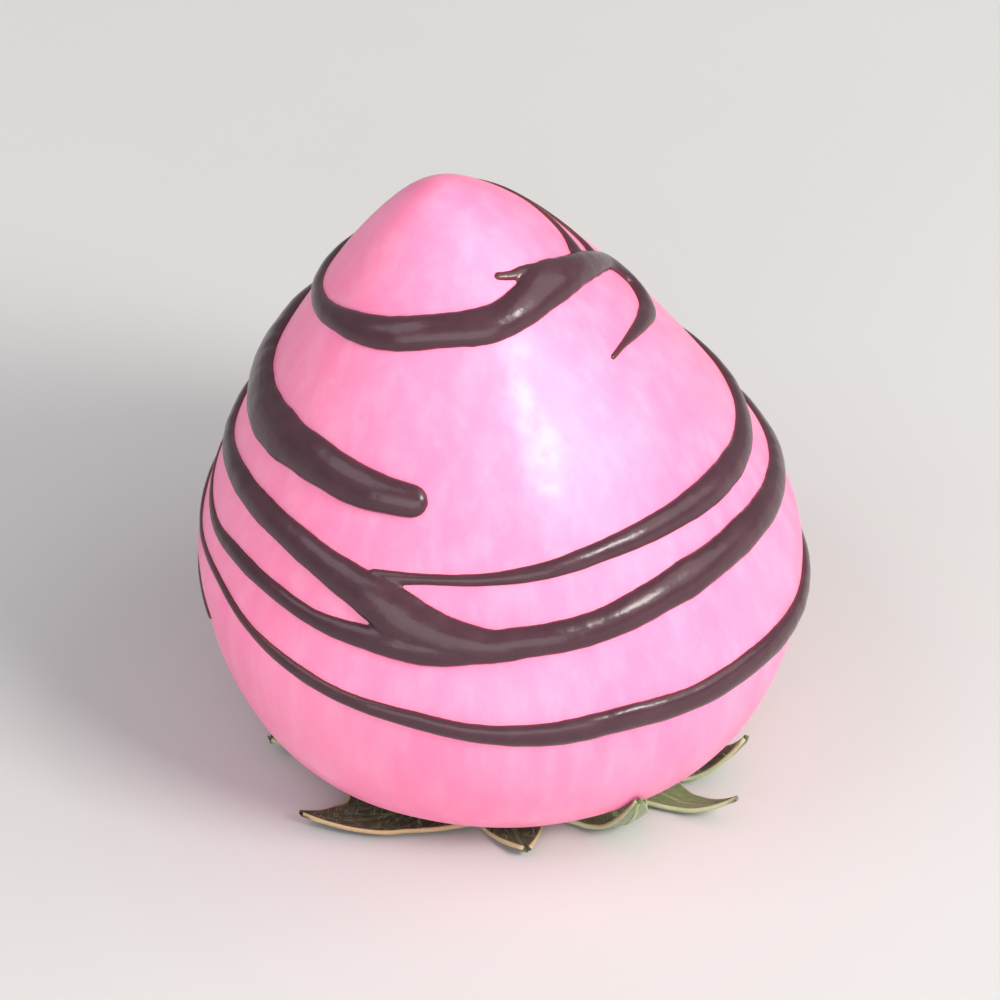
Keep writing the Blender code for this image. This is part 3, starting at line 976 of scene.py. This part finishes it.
class STRAWBERRY_OT_drizzle(bpy.types.Operator):
    """Pipe the dark strands over the coating and let those that touch run together"""

    bl_idname = "strawberry.drizzle"
    bl_label = "Dark drizzle"

    def execute(self, context):
        settings = context.scene.strawberry_drizzle
        material = drizzle_finish(settings)
        coating = bpy.data.objects["pink_coating"]
        bead = drizzle_tree(coating, settings, material)
        lift = lift_tree(coating, material)
        for name, strands in DRIZZLE_PIECES.items():
            points, edges, halves = [], [], []
            for strand in strands:
                track = smooth_track(STRANDS[strand], TRACK_STEP)
                first = len(points)
                points.extend(on_coat(track[:, 0], track[:, 1]))
                halves.extend(track[:, 2] / 2 + settings.swell)
                edges.extend((i, i + 1) for i in range(first, len(points) - 1))
            piece = mesh_object(name, points, edges, values={"half": halves})
            bead.put_on(piece)
            melt = piece.modifiers.new("melt", "REMESH")
            melt.mode = "VOXEL"
            melt.voxel_size = settings.voxel
            melt.use_smooth_shade = True
            smooth = piece.modifiers.new("smooth", "SMOOTH")
            smooth.factor = 0.5
            smooth.iterations = 5
            thin = piece.modifiers.new("thin", "DECIMATE")
            thin.ratio = settings.kept_share
            lift.put_on(piece)
            settle(piece)
            hand_over(piece, "coated_strawberry")
        return {"FINISHED"}


class STRAWBERRY_OT_flesh(bpy.types.Operator):
    """Make the berry's flesh, which shows inside the coat's lip, and its seeds"""

    bl_idname = "strawberry.flesh"
    bl_label = "Flesh and seeds"

    def execute(self, context):
        settings = context.scene.strawberry_cap
        flesh = polyline("berry_flesh", [(radius, 0.0, height) for radius, height in FLESH])
        lathe_tree(
            "flesh_skin",
            flesh_finish(settings),
            segments=120,
            rings=60,
            lobed=1.0,
            unevenness=0.0002,
            patch=500.0,
        ).put_on(flesh)
        settle(flesh)
        seeds = bpy.data.objects.new("seeds", flesh.data.copy())
        context.scene.collection.objects.link(seeds)
        scatter_tree(
            "seed_scatter", seed_finish(), SEED_SPACING, SEED_DENSITY, seed=3, pieces=seed_instances
        ).put_on(seeds)
        settle(seeds)
        for piece in (flesh, seeds):
            hand_over(piece, "coated_strawberry")
        return {"FINISHED"}


class STRAWBERRY_OT_leaves(bpy.types.Operator):
    """Lay out the cap's leaves and set fine hairs on them"""

    bl_idname = "strawberry.leaves"
    bl_label = "Cap leaves"

    def execute(self, context):
        settings = context.scene.strawberry_cap
        numbers = np.arange(LEAF_COUNT)
        azimuths = FIRST_LEAF_AZIMUTH + numbers * 360.0 / LEAF_COUNT + np.array(LEAF_TURNS)
        values = {
            "azimuth": np.radians(azimuths),
            "length": LEAF_LENGTHS,
            "width": LEAF_WIDTHS,
            "bend": np.radians(LEAF_BENDS),
            "lift": LEAF_LIFTS,
            "tone": LEAF_TONES,
            "level": [LEAF_LEVELS[number % 2] for number in numbers],
            "phase": WAVE_PHASE_STEP * numbers,
        }
        leaves = mesh_object("leaves", np.zeros((LEAF_COUNT, 3)), values=values)
        leaf_tree(settings, leaf_finish(settings)).put_on(leaves)
        settle(leaves)
        hairs = bpy.data.objects.new("leaf_hairs", leaves.data.copy())
        context.scene.collection.objects.link(hairs)
        scatter_tree(
            "hair_scatter", hair_finish(), HAIR_SPACING, settings.hairs, seed=11, pieces=hair_instances
        ).put_on(hairs)
        settle(hairs)
        solidify = leaves.modifiers.new("thickness", "SOLIDIFY")
        solidify.thickness = settings.leaf_thickness
        solidify.offset = -1.0
        settle(leaves)
        for piece in (leaves, hairs):
            hand_over(piece, "calyx")
        return {"FINISHED"}


class STRAWBERRY_OT_crown(bpy.types.Operator):
    """Make the cap's firm middle with the stump of its stalk"""

    bl_idname = "strawberry.crown"
    bl_label = "Crown and stalk"

    def execute(self, context):
        settings = context.scene.strawberry_cap
        crown = polyline("crown", [(radius, 0.0, height) for radius, height in CROWN])
        lathe_tree(
            "crown_skin",
            crown_finish(settings),
            segments=64,
            rings=70,
            lobed=2.0,
            unevenness=0.00015,
            patch=900.0,
        ).put_on(crown)
        settle(crown)
        hand_over(crown, "calyx")
        return {"FINISHED"}


def add_lamp(name, azimuth, elevation, distance, size, energy, colour):
    """A soft square lamp that points at the strawberry."""
    turn, climb = math.radians(azimuth), math.radians(elevation)
    towards = Vector((math.cos(turn) * math.cos(climb), math.sin(turn) * math.cos(climb), math.sin(climb)))
    data = bpy.data.lights.new(name, "AREA")
    data.shape = "RECTANGLE"
    data.size, data.size_y = size
    data.energy = energy
    data.color = colour
    lamp = bpy.data.objects.new(name, data)
    lamp.location = Vector(VIEW_TARGET) + towards * distance
    lamp.rotation_euler = towards.to_track_quat("Z", "Y").to_euler()
    bpy.context.scene.collection.objects.link(lamp)


class STRAWBERRY_OT_stage(bpy.types.Operator):
    """Add the floor, the soft lights and the camera"""

    bl_idname = "strawberry.stage"
    bl_label = "Floor, lights and camera"

    def execute(self, context):
        settings = context.scene.strawberry_stage
        half = FLOOR_SIZE / 2
        corners = [(-half, -half, 0.0), (half, -half, 0.0), (half, half, 0.0), (-half, half, 0.0)]
        floor = mesh_object("floor", corners, faces=[(0, 1, 2, 3)])
        floor.data.materials.append(floor_finish(settings))
        for name, azimuth, elevation, distance, size, watts, colour in LAMPS:
            add_lamp(name, azimuth, elevation, distance, size, watts * settings.strength, colour)
        world = bpy.data.worlds.new("studio")
        world.use_nodes = True
        sky = world.node_tree.nodes["Background"]
        sky.inputs["Color"].default_value = (*SKY_COLOUR, 1.0)
        sky.inputs["Strength"].default_value = SKY_STRENGTH * settings.strength
        context.scene.world = world
        context.scene.view_settings.view_transform = "Standard"
        camera_data = bpy.data.cameras.new("camera")
        camera_data.lens = settings.lens
        camera = bpy.data.objects.new("camera", camera_data)
        climb = settings.elevation
        towards = Vector((0.0, -math.cos(climb), math.sin(climb)))
        distance = VIEW_WIDTH * camera_data.lens / camera_data.sensor_width
        camera.location = Vector(VIEW_TARGET) + towards * distance
        camera.rotation_euler = towards.to_track_quat("Z", "Y").to_euler()
        context.scene.collection.objects.link(camera)
        context.scene.camera = camera
        return {"FINISHED"}


STEPS = (
    STRAWBERRY_OT_coating,
    STRAWBERRY_OT_drizzle,
    STRAWBERRY_OT_flesh,
    STRAWBERRY_OT_leaves,
    STRAWBERRY_OT_crown,
    STRAWBERRY_OT_stage,
)
SETTINGS = {
    "strawberry_coating": CoatingSettings,
    "strawberry_drizzle": DrizzleSettings,
    "strawberry_cap": CapSettings,
    "strawberry_stage": StageSettings,
}


class STRAWBERRY_PT_panel(bpy.types.Panel):
    """Sizes, colours and making steps of the strawberry"""

    bl_idname = "STRAWBERRY_PT_panel"
    bl_label = "Coated strawberry"
    bl_space_type = "VIEW_3D"
    bl_region_type = "UI"
    bl_category = "Strawberry"

    def draw(self, context):
        layout = self.layout
        for title, group in SETTINGS.items():
            box = layout.box()
            for setting in group.__annotations__:
                box.prop(getattr(context.scene, title), setting)
        for step in STEPS:
            layout.operator(step.bl_idname)


def register():
    for made in (*SETTINGS.values(), *STEPS, STRAWBERRY_PT_panel):
        bpy.utils.register_class(made)
    for title, group in SETTINGS.items():
        setattr(bpy.types.Scene, title, bpy.props.PointerProperty(type=group))


def unregister():
    for title in SETTINGS:
        delattr(bpy.types.Scene, title)
    for made in (STRAWBERRY_PT_panel, *reversed(STEPS), *reversed(SETTINGS.values())):
        bpy.utils.unregister_class(made)


def main():
    register()
    bpy.ops.strawberry.coating()
    bpy.ops.strawberry.drizzle()
    bpy.ops.strawberry.flesh()
    bpy.ops.strawberry.leaves()
    bpy.ops.strawberry.crown()
    bpy.ops.strawberry.stage()


if __name__ == "__main__":
    main()
